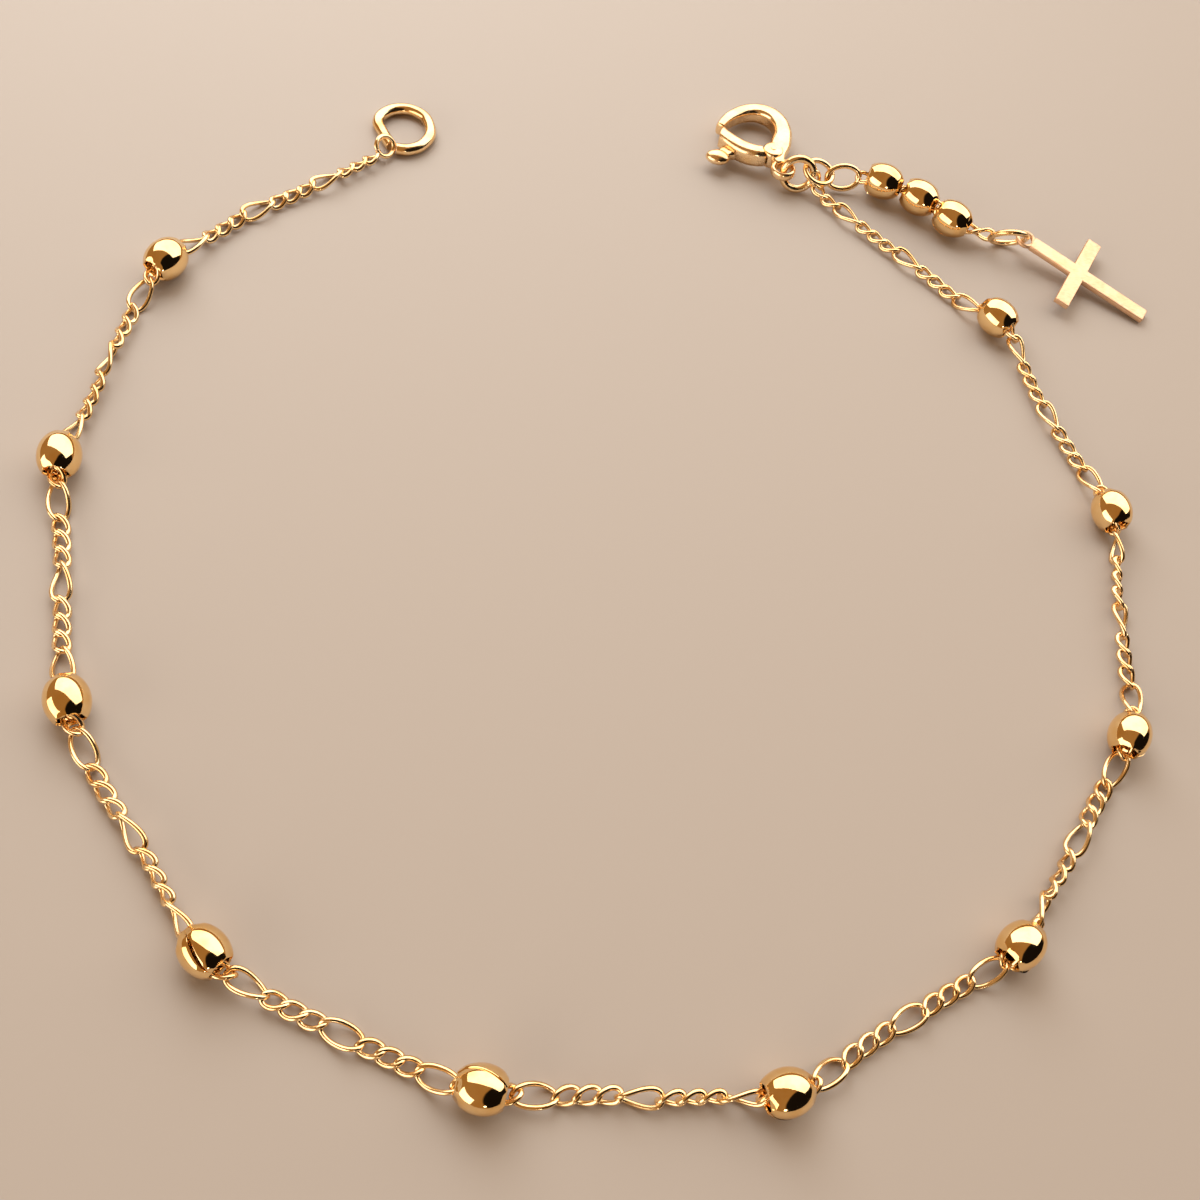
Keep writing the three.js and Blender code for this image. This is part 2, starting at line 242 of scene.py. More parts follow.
# The golds' grain in clouds to the metre, and the depth of their marks in metres.
TONE_GRAIN = 900
TONE_RANGE = (0.42, 0.75)
RUBBED_GRAIN = 2600
RUBBED_STRETCH = (1, 9, 3)
RUBBED_TURN = (0.3, 0.2, 0.6)
GLOSS_RANGE = (0.3, 0.7)
GLOSS_SHARES = (0.6, 1.5)
DENT_GRAIN = 1100
HAIRLINE_DEPTH = 0.00001
DENT_DEPTH = 0.00006

# Lights: the compass heading and the height in degrees, the distance and the size in metres.
LAMPS = {
    "window": {
        "heading": 70, "height": 45, "distance": 0.9, "size": (2.8, 1.15),
        "power": 23.5, "colour": (1.0, 0.98, 0.93),
    },
    "far_lamp": {
        "heading": 112, "height": 42, "distance": 0.155, "size": (0.12, 0.12),
        "power": 0.21, "colour": (0.76, 0.88, 1.0),
    },
    "side": {
        "heading": 212, "height": 16, "distance": 0.9, "size": (1.05, 0.55),
        "power": 4.6, "colour": (1.0, 0.95, 0.86),
    },
    "spark": {
        "heading": -86, "height": 9, "distance": 0.7, "size": (0.06, 0.06),
        "power": 0.15, "colour": (1.0, 0.98, 0.95),
    },
}
TABLE_SIZE = 4
TABLE_COLOUR = (0.394, 0.325, 0.269, 1)
TABLE_ROUGHNESS = 0.9
ROOM_COLOUR = (0.36, 0.20, 0.075, 1)
DARK_SIDE_COLOUR = (0.008, 0.006, 0.005, 1)
WALL_COLOUR = (0.66, 0.58, 0.49, 1)
DARK_SIDE = (0.72, -0.55, 0.42)
DARK_SIDE_EDGE = (0.64, 0.72)

# The camera's place in millimetres, its turns in degrees, and its lens.
CAMERA_PLACE = (-10.02, -35.10, 73.90)
CAMERA_TURN = (25.21, -7.72, 0.0)
CAMERA_LENS = 37.95
CAMERA_SENSOR = 36


def node_middle(node):
    """The middle of a CAD node's box, in millimetres."""
    low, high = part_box(node)
    return (low + high) / (2 * MM)


PLAN_SHIFT = node_middle("end_ring") - Vector((*END_RING_PLACE, 0))
PLAN_SHIFT.z = 0


def laid(x, y, z):
    """A place of the layout, shifted so that the bracelet's middle is at the origin."""
    return Vector((x, y, z)) + PLAN_SHIFT


def turned(turns):
    """Heading, pitch and roll in degrees as one rotation."""
    heading, pitch, roll = (math.radians(angle) for angle in turns)
    aimed = Matrix.Rotation(heading, 4, "Z") @ Matrix.Rotation(-pitch, 4, "Y")
    return aimed @ Matrix.Rotation(roll, 4, "X")


def set_down(place, turns):
    """The place of a piece that lies at a place of the layout, with its turns."""
    return Matrix.Translation(laid(*place)) @ turned(turns)


# ------------------------------------------------------------------ the bench


def take(*pieces):
    """Leaves these pieces alone selected, the first one active."""
    bpy.ops.object.select_all(action="DESELECT")
    for piece in pieces:
        piece.select_set(True)
    bpy.context.view_layer.objects.active = pieces[0]


def start_edit(piece):
    """Opens a piece in edit mode, with nothing on it selected."""
    take(piece)
    bpy.ops.object.mode_set(mode="EDIT")
    bpy.ops.mesh.select_mode(type="VERT")
    bpy.ops.mesh.select_all(action="DESELECT")


def end_edit():
    """Back to object mode."""
    bpy.ops.object.mode_set(mode="OBJECT")


def pick_corners(piece, test):
    """In edit mode, selects the corners whose place passes the test."""
    shape = bmesh.from_edit_mesh(piece.data)
    for corner in shape.verts:
        corner.select_set(test(corner))
    shape.select_flush_mode()
    bmesh.update_edit_mesh(piece.data)


def turn_picked(angle, axis, centre=(0, 0, 0)):
    """Turns what is selected by the right-hand rule. With no window the operator turns the
    other way, so the angle is reversed for it."""
    bpy.ops.transform.rotate(value=-angle, orient_axis=axis, center_override=centre)


def finish_with(piece, kind, **settings):
    """Adds a modifier with its settings and applies it."""
    take(piece)
    modifier = piece.modifiers.new(kind.lower(), kind)
    for name, value in settings.items():
        setattr(modifier, name, value)
    bpy.ops.object.modifier_apply(modifier=modifier.name)


def round_edges(piece, width, segments, bend=50):
    """Rounds the edges where two faces meet at more than this bend, in degrees."""
    finish_with(piece, "BEVEL", width=width, segments=segments, limit_method="ANGLE",
                angle_limit=math.radians(bend))


def cut(piece, cutter, operation="DIFFERENCE"):
    """Takes a cutter's shape out of a piece, or leaves only what is inside the cutter."""
    finish_with(piece, "BOOLEAN", operation=operation, solver="EXACT", object=cutter)
    put_away(cutter)


def melt_together(piece, *others):
    """Solders other pieces to this one, as one closed skin."""
    for other in others:
        cut(piece, other, operation="UNION")


def smooth(piece, under=SMOOTH_UNDER):
    """Shades a piece smooth, but for the edges that bend by more than an angle in degrees."""
    take(piece)
    bpy.ops.object.shade_smooth_by_angle(angle=math.radians(under))


def copy_at(pattern, name, place):
    """A copy with its own mesh, set at a place given in millimetres and scaled to metres."""
    twin = bpy.data.objects.new(name, pattern.data.copy())
    bpy.context.scene.collection.objects.link(twin)
    twin.data.transform(Matrix.Scale(MM, 4) @ place)
    return twin


def put_away(*patterns):
    """Removes pieces that are no longer needed."""
    for pattern in patterns:
        bpy.data.objects.remove(pattern)


def dress(piece, body, slot, material, *nodes):
    """Gives a finished piece its metal and its body, and hides the CAD nodes that it stands for."""
    piece.data.materials.clear()
    piece.data.materials.append(material)
    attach(piece, body)
    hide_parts(*nodes)


# ------------------------------------------------------------------ metals


def clouds_of(nodes, grain, detail):
    """Soft clouds of one grain, in clouds to the metre."""
    clouds = nodes.new("ShaderNodeTexNoise")
    clouds.inputs["Scale"].default_value = grain
    clouds.inputs["Detail"].default_value = detail
    return clouds


def marks_of(nodes, strength, depth):
    """Marks in the surface, as strong and as deep as given."""
    marks = nodes.new("ShaderNodeBump")
    marks.inputs["Strength"].default_value = strength
    marks.inputs["Distance"].default_value = depth
    return marks


def range_of(nodes, start, end):
    """A change of scale, which turns this range into 0 to 1."""
    scale = nodes.new("ShaderNodeMapRange")
    scale.inputs["From Min"].default_value = start
    scale.inputs["From Max"].default_value = end
    return scale


def blend_of(nodes, first, second):
    """A blend of two colours."""
    blend = nodes.new("ShaderNodeMix")
    blend.data_type = "RGBA"
    blend.inputs["A"].default_value = first
    blend.inputs["B"].default_value = second
    return blend


def gold(name, colour, deep, roughness, dents, lines):
    """Yellow gold. Its tone wanders a little, rubbed lines change its gloss, and soft dents and
    fine hairlines break up what it mirrors."""
    metal = bpy.data.materials.new(name)
    metal.use_nodes = True
    nodes = metal.node_tree.nodes
    link = metal.node_tree.links.new
    shader = nodes["Principled BSDF"]
    shader.inputs["Metallic"].default_value = 1.0
    place = nodes.new("ShaderNodeTexCoord")

    clouds = clouds_of(nodes, TONE_GRAIN, detail=3)
    link(place.outputs["Object"], clouds.inputs["Vector"])
    tone = blend_of(nodes, (*colour, 1), (*deep, 1))
    tone_range = range_of(nodes, *TONE_RANGE)
    link(clouds.outputs["Fac"], tone_range.inputs["Value"])
    link(tone_range.outputs["Result"], tone.inputs["Factor"])
    link(tone.outputs["Result"], shader.inputs["Base Color"])

    rubbed = nodes.new("ShaderNodeMapping")
    rubbed.inputs["Scale"].default_value = RUBBED_STRETCH
    rubbed.inputs["Rotation"].default_value = RUBBED_TURN
    hairs = clouds_of(nodes, RUBBED_GRAIN, detail=6)
    link(place.outputs["Object"], rubbed.inputs["Vector"])
    link(rubbed.outputs["Vector"], hairs.inputs["Vector"])
    gloss = range_of(nodes, *GLOSS_RANGE)
    gloss.inputs["To Min"].default_value = roughness * GLOSS_SHARES[0]
    gloss.inputs["To Max"].default_value = roughness * GLOSS_SHARES[1]
    link(hairs.outputs["Fac"], gloss.inputs["Value"])
    link(gloss.outputs["Result"], shader.inputs["Roughness"])

    hairline = marks_of(nodes, lines, HAIRLINE_DEPTH)
    link(hairs.outputs["Fac"], hairline.inputs["Height"])
    swell = clouds_of(nodes, DENT_GRAIN, detail=1)
    link(place.outputs["Object"], swell.inputs["Vector"])
    dent = marks_of(nodes, dents, DENT_DEPTH)
    link(swell.outputs["Fac"], dent.inputs["Height"])
    link(hairline.outputs["Normal"], dent.inputs["Normal"])
    link(dent.outputs["Normal"], shader.inputs["Normal"])
    return metal


POLISHED_GOLD = gold(
    "polished_gold", colour=(0.98, 0.69, 0.34), deep=(0.91, 0.56, 0.20),
    roughness=0.06, dents=0.30, lines=0.04)
WIRE_GOLD = gold(
    "wire_gold", colour=(1.00, 0.73, 0.40), deep=(0.93, 0.57, 0.22),
    roughness=0.17, dents=0.20, lines=0.05)
CLASP_GOLD = gold(
    "clasp_gold", colour=(0.98, 0.72, 0.42), deep=(0.93, 0.60, 0.27),
    roughness=0.21, dents=0.10, lines=0.03)
PLATE_GOLD = gold(
    "plate_gold", colour=(0.80, 0.54, 0.35), deep=(0.77, 0.48, 0.27),
    roughness=0.46, dents=0.04, lines=0.03)


# ------------------------------------------------------------------ wires and bars


def bent_wire(name, length, width, wire, bends, sides):
    """A closed oval of round wire, with its length along X."""
    bpy.ops.curve.primitive_bezier_circle_add(radius=(width - wire) / 2)
    loop = bpy.context.active_object
    loop.name = name
    bpy.ops.object.mode_set(mode="EDIT")
    bpy.ops.curve.select_all(action="SELECT")
    bpy.ops.transform.resize(value=((length - wire) / (width - wire), 1, 1))
    bpy.ops.object.mode_set(mode="OBJECT")
    loop.data.resolution_u = bends
    loop.data.bevel_depth = wire / 2
    loop.data.bevel_resolution = sides // 2 - 2
    take(loop)
    bpy.ops.object.convert(target="MESH")
    return bpy.context.active_object


def smooth_route(corners, spacing=0.1):
    """Places along a smooth line through the corners, close together."""
    line = [corners[0]]
    ends = [corners[0] * 2 - corners[1], *corners, corners[-1] * 2 - corners[-2]]
    for before, start, end, after in zip(ends, ends[1:], ends[2:], ends[3:]):
        steps = max(2, round((end - start).length / spacing))
        for step in range(1, steps + 1):
            t = step / steps
            line.append(0.5 * (
                2 * start + (end - before) * t
                + (2 * before - 5 * start + 4 * end - after) * t**2
                + (3 * start - before - 3 * end + after) * t**3
            ))
    return line


class Route:
    """A line that can be walked by its length."""

    def __init__(self, corners):
        self.line = smooth_route(corners)
        self.marks = [0.0]
        for start, end in zip(self.line, self.line[1:]):
            self.marks.append(self.marks[-1] + (end - start).length)
        self.length = self.marks[-1]

    def at(self, distance):
        """The place on the line at this distance from its start."""
        index = 1
        while index < len(self.marks) - 1 and self.marks[index] < distance:
            index += 1
        start, end = self.line[index - 1], self.line[index]
        share = (distance - self.marks[index - 1]) / (self.marks[index] - self.marks[index - 1])
        return start.lerp(end, share)


def guide_line(corners):
    """A guide to bend a bar along, level in Z."""
    line = bpy.data.curves.new("guide", "CURVE")
    line.dimensions = "3D"
    line.twist_mode = "Z_UP"
    spline = line.splines.new("POLY")
    places = smooth_route(corners, spacing=0.05)
    spline.points.add(len(places) - 1)
    for point, place in zip(spline.points, places):
        point.co = (*place, 1)
    guide = bpy.data.objects.new("guide", line)
    bpy.context.scene.collection.objects.link(guide)
    return guide


def bent_bar(name, rows, edge):
    """A bar drawn out straight to the widths and thicknesses of its rows, then bent through
    their places. Its long edges are rounded by a share of its size, and its ends are domed."""
    corners = [Vector((row["x"], row["y"], 0)) for row in rows]
    route = Route(corners)
    sizes = Route([Vector((row["width"], row["thick"], index)) for index, row in enumerate(rows)])
    steps = round(route.length / BAR_STEP)
    even = route.length - 2 * DOME_LENGTH
    distances = [0, *DOME_STEPS]
    distances += [DOME_LENGTH + even * step / steps for step in range(steps + 1)]
    distances += [route.length - step for step in reversed(DOME_STEPS)]
    distances += [route.length]
    bpy.ops.object.select_all(action="DESELECT")
    bpy.ops.mesh.primitive_plane_add(size=1)
    bar = bpy.context.active_object
    bar.name = name
    start_edit(bar)
    bpy.ops.mesh.select_all(action="SELECT")
    bpy.ops.mesh.bevel(offset=edge, offset_pct=0, segments=5, affect="VERTICES")
    bpy.ops.mesh.select_all(action="SELECT")
    turn_picked(math.radians(90), "Y")
    width, thick = 1, 1
    for before, distance in zip([0, *distances], distances):
        size = sizes.at(sizes.length * distance / route.length)
        from_end = min(distance, route.length - distance) / DOME_LENGTH
        dome = DOME_TIP + (1 - DOME_TIP) * math.sqrt(1 - (1 - min(from_end, 1)) ** 2)
        if distance > 0:
            onward = (distance - before, 0, 0)
            bpy.ops.mesh.extrude_region_move(TRANSFORM_OT_translate={"value": onward})
        bpy.ops.transform.resize(value=(1, size.x * dome / width, size.y * dome / thick))
        width, thick = size.x * dome, size.y * dome
    bpy.ops.mesh.select_all(action="SELECT")
    bpy.ops.mesh.normals_make_consistent(inside=False)
    end_edit()
    guide = guide_line(corners)
    finish_with(bar, "CURVE", object=guide, deform_axis="POS_X")
    put_away(guide)
    return bar


def open_wire(name, corners, wire):
    """Round wire bent through the corners, with its cut ends rounded off."""
    guide = guide_line(corners)
    guide.name = name
    guide.data.bevel_depth = wire / 2
    guide.data.bevel_resolution = 6
    guide.data.use_fill_caps = True
    take(guide)
    bpy.ops.object.convert(target="MESH")
    drawn = bpy.context.active_object
    start_edit(drawn)
    bpy.ops.mesh.select_all(action="SELECT")
    bpy.ops.mesh.remove_doubles(threshold=TOLERANCE / 2)
    bpy.ops.mesh.normals_make_consistent(inside=False)
    end_edit()
    round_edges(drawn, wire * WIRE_END_ROUNDING, segments=3, bend=60)
    smooth(drawn)
    return drawn


# ------------------------------------------------------------------ links


def curb_link(name, size, bends):
    """A link twisted a quarter turn or more from end to end, so that a row of them lies flat."""
    link = bent_wire(name, size["length"], size["width"], size["wire"], bends, sides=10)
    finish_with(link, "SIMPLE_DEFORM", deform_method="TWIST", deform_axis="X",
                angle=-math.radians(size["twist"]))
    take(link)
    bpy.ops.object.shade_smooth()
    return link


def figaro_row(start, first, count, length=None):
    """The kinds of link and their middles' distances along a stretch, one long link after three
    small ones. A row with a length is drawn out or pushed together a little to fit it."""
    order = [KINDS[index % len(KINDS)] for index in range(first, first + count)]
    distances = [0.0]
    for before, after in zip(order, order[1:]):
        distances.append(distances[-1] + (LINKS[before]["reach"] + LINKS[after]["reach"]) / 2)
    fit = length / distances[-1] if length else 1
    return [(kind, start + distance * fit) for kind, distance in zip(order, distances)]


def lowest_wire(kind, place):
    """The height of the underside of a twisted link's wire, with the link turned and placed."""
    size = LINKS[kind]
    half_length = (size["length"] - size["wire"]) / 2
    half_width = (size["width"] - size["wire"]) / 2
    heights = []
    for step in range(WIRE_CHECKS):
        turn = math.tau * step / WIRE_CHECKS
        roll = -math.radians(size["twist"] / 2 * math.cos(turn))
        along = half_length * math.cos(turn)
        across = half_width * math.sin(turn)
        spot = Vector((along, across * math.cos(roll), across * math.sin(roll)))
        heights.append((place @ spot).z)
    return min(heights) - size["wire"] / 2


def rest_height(kind, lean):
    """How high the middle of a leaning link lies when the link rests on the table."""
    return -lowest_wire(kind, Matrix.Rotation(math.radians(lean), 4, "X"))


def ball_middle(number):
    """The middle of one ball of the chain, at the chain's height inside it."""
    middle = node_middle(f"bead_{number:02d}")
    middle.z = CHAIN_IN_BALL
    return middle


def heading_of(angle):
    """A level direction, from its angle in degrees."""
    return Vector((math.cos(math.radians(angle)), math.sin(math.radians(angle)), 0))


def stretch_corners(number):
    """The corners of the chain's route in one stretch, from ball to ball."""
    corners = [laid(x, y, CHAIN_LYING) for x, y in LYING_STRETCHES[number]]
    if number > 0:
        ball = ball_middle(number)
        corners.insert(0, ball + heading_of(BALLS[number - 1]["heading"]) * BALL_HALF_LENGTH)
        corners.insert(0, ball)
    if number < len(BALLS):
        ball = ball_middle(number + 1)
        corners.append(ball - heading_of(BALLS[number]["heading"]) * BALL_HALF_LENGTH)
        corners.append(ball)
    else:
        corners.append(laid(*CHAIN_TO_CLASP))
    return corners


def lean_at(number, share):
    """How far a link leans at a share of its stretch, evenly between the known leans."""
    leans = LEANS[number]
    if share < LEANS_AT[0]:
        return leans[0]
    for before, after, start, end in zip(leans, leans[1:], LEANS_AT, LEANS_AT[1:]):
        if share < end:
            return before + (after - before) * (share - start) / (end - start)
    return leans[-1]


def link_places(route, row, leans):
    """A place for each link: along the route, turned along its neighbours, and leaning. A
    leaning link stands higher, and lifts the links on both sides of it."""
    heights = [rest_height(kind, lean) for (kind, distance), lean in zip(row, leans)]
    for _ in range(LIFTING_ROUNDS):
        lifted = list(heights)
        for index in range(1, len(heights) - 1):
            beside = (heights[index - 1] + heights[index + 1]) / 2 - LINK_SLACK
            lifted[index] = max(heights[index], beside)
        heights = lifted
    spots = []
    for (kind, distance), height in zip(row, heights):
        spot = route.at(distance)
        spot.z = max(spot.z, height)
        spots.append(spot)
    places = []
    for index, (spot, lean, (kind, distance)) in enumerate(zip(spots, leans, row)):
        before = spots[max(index - 1, 0)]
        after = spots[min(index + 1, len(spots) - 1)]
        along = (after - before).normalized()
        side = Vector((0, 0, 1)).cross(along).normalized()
        up = along.cross(side)
        axes = Matrix((along, side, up)).transposed().to_4x4()
        slant = math.copysign(LINKS[kind]["slant"], math.cos(math.radians(lean)))
        leaned = Matrix.Rotation(math.radians(lean), 4, "X")
        slanted = Matrix.Rotation(math.radians(slant), 4, "Z")
        place = Matrix.Translation(spot) @ axes @ (leaned @ slanted)
        lift = max(ROOM_UNDER_LINKS - lowest_wire(kind, place), 0)
        places.append(Matrix.Translation((0, 0, lift)) @ place)
    return places


def join_links(name, kinds, places, patterns):
    """One stretch of linked links as a single piece."""
    links = [copy_at(patterns[kind], f"{name}_{index}", place)
             for index, (kind, place) in enumerate(zip(kinds, places))]
    take(*links)
    bpy.ops.object.join()
    stretch = bpy.context.active_object
    stretch.name = name
    return stretch


def make_chain(patterns):
    """All eleven stretches. Each ball hides three small links, and its middle one belongs to
    the next stretch."""
    last = len(BALLS)
    for number in range(last + 1):
        route = Route(stretch_corners(number))
        if number == 0:
            length = figaro_row(0, KIND_AT_END_RING, END_STRETCH_LINKS)[-1][1]
            start = route.length + ROW_PAST_BALL - length
            row = figaro_row(start, KIND_AT_END_RING, END_STRETCH_LINKS)[:-1]
        elif number == last:
            fitted = route.length - LAST_ROW_PAST_BALL
            row = figaro_row(LAST_ROW_PAST_BALL, 0, END_STRETCH_LINKS, fitted)
        else:
            end = LAST_ROW_PAST_BALL if number == last - 1 else ROW_PAST_BALL
            fitted = route.length + end - ROW_PAST_BALL
            row = figaro_row(ROW_PAST_BALL, 0, STRETCH_LINKS, fitted)[:-1]
        leans = [lean_at(number, distance / route.length) for kind, distance in row]
        places = link_places(route, row, leans)
        kinds = [kind for kind, distance in row]
        stretch = join_links(f"links_{number + 1:02d}", kinds, places, patterns)
        dress(stretch, "bracelet", "wire_gold", WIRE_GOLD, "chain")


def make_drop_chain(patterns):
    """The small links that run through the drop's three balls."""
    balls = [node_middle(f"drop_bead_{number}") for number in (1, 2, 3)]
    corners = [laid(*DROP_CHAIN_START), *balls, laid(*DROP_CHAIN_END)]
    route = Route(corners)
    count = round(route.length / SMALL_LINK["reach"]) + 1
    row = [("small", route.length * index / (count - 1)) for index in range(count)]
    places = link_places(route, row, [90 * (index % 2) for index in range(count)])
    stretch = join_links("drop_links", ["small"] * count, places, patterns)
    dress(stretch, "bracelet", "wire_gold", WIRE_GOLD, "drop_chain")


# ------------------------------------------------------------------ balls


def crimp_mouth(ball, end, folds):
    """Presses small folds into the sheet round one mouth, in edit mode."""

    def in_fold(corner):
        on_rim = corner.co.x * end > WIDE_MOUTH_AT - CRIMP["depth"]
        wave = math.cos(folds * math.atan2(corner.co.y, corner.co.z))
        return on_rim and wave > CRIMP["narrow"]

    pick_corners(ball, in_fold)
    bpy.ops.transform.resize(
        value=(1, CRIMP["pinch"], CRIMP["pinch"]), center_override=(0, 0, 0),
        use_proportional_edit=True, use_proportional_connected=True,
        proportional_edit_falloff="SMOOTH", proportional_size=CRIMP["reach"])


def slide_edge(across, lift, reach):
    """Moves the picked edge of the sheet and draws the sheet beside it along."""
    bpy.ops.transform.translate(
        value=(0, across, lift), use_proportional_edit=True, use_proportional_connected=True,
        proportional_edit_falloff="SMOOTH", proportional_size=reach)


def roll_ball(name, closing):
    """A hollow ball rolled from sheet, open at both ends along X, with the wide mouth at the far
    end. Its seam winds along its top: tight, lapped over itself, or gaping in the middle."""

    def on_seam(corner):
        return abs(corner.co.y) < TOLERANCE and corner.co.z > 0

    def left_of_seam(corner):
        return all(face.calc_center_median().y > 0 for face in corner.link_faces)

    def at_gap(corner):
        return on_seam(corner) and abs(corner.co.x) < GAP_HALF_LENGTH

    bpy.ops.mesh.primitive_uv_sphere_add(segments=48, ring_count=36, radius=BALL_RADIUS)
    ball = bpy.context.active_object
    ball.name = name
    start_edit(ball)
    bpy.ops.mesh.select_all(action="SELECT")
    turn_picked(math.radians(90), "Y")
    bpy.ops.transform.resize(value=(BALL_STRETCH, 1, 1))
    bpy.ops.mesh.bisect(plane_co=(WIDE_MOUTH_AT, 0, 0), plane_no=(1, 0, 0), clear_outer=True)
    bpy.ops.mesh.select_all(action="SELECT")
    bpy.ops.mesh.bisect(plane_co=(-NARROW_MOUTH_AT, 0, 0), plane_no=(1, 0, 0), clear_inner=True)
    crimp_mouth(ball, end=1, folds=WIDE_MOUTH_FOLDS)
    crimp_mouth(ball, end=-1, folds=NARROW_MOUTH_FOLDS)
    pick_corners(ball, on_seam)
    bpy.ops.mesh.edge_split(type="EDGE")
    shift = SEAM_SHIFTS[closing]
    if closing == "open":
        pick_corners(ball, lambda corner: at_gap(corner) and left_of_seam(corner))
        slide_edge(shift["across"], shift["lift"], shift["reach"])
        pick_corners(ball, lambda corner: at_gap(corner) and not left_of_seam(corner))
        slide_edge(-shift["across"], shift["lift"], shift["reach"])
    else:
        pick_corners(ball, lambda corner: on_seam(corner) and left_of_seam(corner))
        slide_edge(shift["across"], shift["lift"], shift["reach"])
    end_edit()
    finish_with(ball, "SOLIDIFY", thickness=BALL_SHEET, offset=-1)
    finish_with(ball, "SIMPLE_DEFORM", deform_method="TWIST", deform_axis="X",
                angle=math.radians(SEAM_WINDING))
    round_edges(ball, SHEET_EDGE, segments=2)
    smooth(ball)
    return ball


def make_balls():
    """The chain's ten balls and the drop's three, each turned to show its seam as it lies."""
    patterns = {closing: roll_ball(f"{closing}_ball", closing) for closing in SEAM_SHIFTS}
    rows = [(f"ball_{number:02d}", f"bead_{number:02d}", row)
            for number, row in enumerate(BALLS, start=1)]
    rows += [(f"drop_ball_{number}", f"drop_bead_{number}", row)
             for number, row in enumerate(DROP_BALLS, start=1)]
    for name, node, row in rows:
        way = row["heading"] if row["wide_end"] > 0 else row["heading"] + 180
        seam = row["seam"] * row["wide_end"]
        place = Matrix.Translation(node_middle(node)) @ turned((way, 0, seam))
        ball = copy_at(patterns[row["closing"]], name, place)
        dress(ball, "bracelet", "polished_gold", POLISHED_GOLD, node)
    put_away(*patterns.values())


# ------------------------------------------------------------------ rings


def ring_corners(length, width, wire):
    """The middle line of a round or oval ring, cut through at one end and closed up again."""
    corners = []
    for step in range(RING_STEPS + 1):
        turn = math.radians(RING_CUT + (360 - 2 * RING_CUT) * step / RING_STEPS)
        corners.append(Vector((
            (length - wire) / 2 * math.cos(turn),
            (width - wire) / 2 * math.sin(turn),
            0,
        )))
    return corners


def wire_ring(name, corners, wire, place, node):
    """A ring bent from round wire, set in its place and dressed."""
    pattern = open_wire("bent", corners, wire)
    ring = copy_at(pattern, name, place)
    put_away(pattern)
    dress(ring, "bracelet", "wire_gold", WIRE_GOLD, node)


def make_wire_loops():
    """The clasp's ring, the drop's two links and the cross's ring."""
    for node, loop in WIRE_LOOPS.items():
        corners = ring_corners(loop["length"], loop["width"], loop["wire"])
        place = Matrix.Translation(node_middle(node)) @ turned(loop["turns"])
        wire_ring(f"{node}_wire", corners, loop["wire"], place, node)


def make_end_ring():
    """The heavy end ring, and the jump ring that the chain holds it with. The heavy ring's two
    cut ends meet at a corner, where the jump ring is."""
    bends = [Vector((x, y, 0)) for x, y in END_RING_BENDS]
    place = Matrix.Translation(node_middle("end_ring") + Vector((0, 0, END_RING_LIFT)))
    wire_ring("end_ring_wire", bends, END_RING_WIRE, place, "end_ring")
    jump = END_JUMP_RING
    corners = ring_corners(jump["length"], jump["width"], jump["wire"])
    place = set_down(END_JUMP_RING_PLACE, jump["turns"])
    wire_ring("end_jump_ring", corners, jump["wire"], place, "chain")


# ------------------------------------------------------------------ clasp


def disc(name, x, y, radius, height, edge):
    """A round plate about Z = 0, with its edges rounded."""
    bpy.ops.object.select_all(action="DESELECT")
    bpy.ops.mesh.primitive_cylinder_add(
        vertices=40, radius=radius, depth=height, location=(x, y, 0))
    plate = bpy.context.active_object
    plate.name = name
    bpy.ops.object.transform_apply(location=True)
    if edge:
        round_edges(plate, edge, segments=3)
    return plate


def bar_between(name, start, end, width, height):
    """A square bar from one place to another, level about Z = 0."""
    span = Vector(end) - Vector(start)
    middle = (Vector(end) + Vector(start)) / 2
    bpy.ops.object.select_all(action="DESELECT")
    bpy.ops.mesh.primitive_cube_add(size=1)
    bar = bpy.context.active_object
    bar.name = name
    start_edit(bar)
    bpy.ops.mesh.select_all(action="SELECT")
    bpy.ops.transform.resize(value=(span.length, width, height))
    turn_picked(math.atan2(span.y, span.x), "Z")
    bpy.ops.transform.translate(value=(middle.x, middle.y, 0))
    end_edit()
    return bar


def make_clasp_body():
    """The hook that curls round from the cheeks, with the eye in front, the lever's slot cut out
    and the pin across it."""
    body = bent_bar("clasp_hook_bar", HOOK_ROWS, CLASP_EDGE)
    eye_radius = CLASP_EYE["hole"] + CLASP_EYE["wire"] / 2
    bpy.ops.object.select_all(action="DESELECT")
    bpy.ops.mesh.primitive_torus_add(
        major_radius=eye_radius, minor_radius=CLASP_EYE["wire"] / 2,
        major_segments=48, minor_segments=16)
    eye = bpy.context.active_object
    start_edit(eye)
    bpy.ops.mesh.select_all(action="SELECT")
    bpy.ops.transform.resize(value=(1, 1, CLASP_EYE["height"] / CLASP_EYE["wire"]))
    end_edit()
    cheek = disc("cheek", *CLASP_PIVOT, **CLASP_CHEEK)
    melt_together(body, eye, cheek)
    aim = math.radians(CLASP_SLOT["direction"])
    reach = CLASP_SLOT["reach"]
    far = (CLASP_PIVOT[0] + reach * math.cos(aim), CLASP_PIVOT[1] + reach * math.sin(aim))
    room = disc("slot", *CLASP_PIVOT, CLASP_SLOT["radius"], CLASP_SLOT["height"], edge=0)
    way_out = bar_between(
        "slot_way", CLASP_PIVOT, far, CLASP_SLOT["width"], CLASP_SLOT["height"])
    melt_together(room, way_out)
    cut(body, room)
    pin = disc("pin", *CLASP_PIVOT, CLASP_PIN["radius"], CLASP_PIN["length"], TURNED_EDGE)
    melt_together(body, pin)
    smooth(body, CRISP_UNDER)
    clasp = copy_at(body, "clasp_hook", set_down(CLASP_PLACE, CLASP_TURNS))
    put_away(body)
    dress(clasp, "bracelet", "polished_gold", CLASP_GOLD, "clasp_body")


